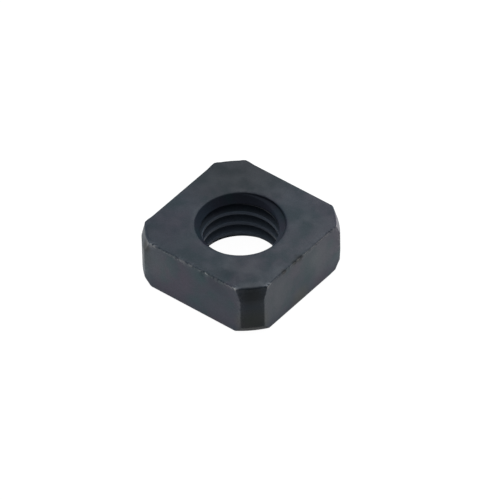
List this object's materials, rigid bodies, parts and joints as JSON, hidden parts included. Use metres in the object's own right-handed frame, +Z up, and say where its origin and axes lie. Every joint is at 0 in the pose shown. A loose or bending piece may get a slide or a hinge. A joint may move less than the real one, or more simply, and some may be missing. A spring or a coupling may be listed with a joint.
{
  "type": "square nut",
  "caption": "Thin square nut with its corners turned round and a threaded bore, countersunk at both faces.",
  "frame": {"origin": "centre of the bore on the lower face", "axes": "+Z up along the bore from the lower face to the upper one, +X and +Y out through two of the four sides"},
  "size_m": [0.017, 0.017, 0.0064],
  "materials": {
    "blackened_steel": "satin black oxide, lightly oiled, with paler worn edges"
  },
  "bodies": {
    "root": {"square_nut": "blackened_steel"}
  },
  "joints": []
}
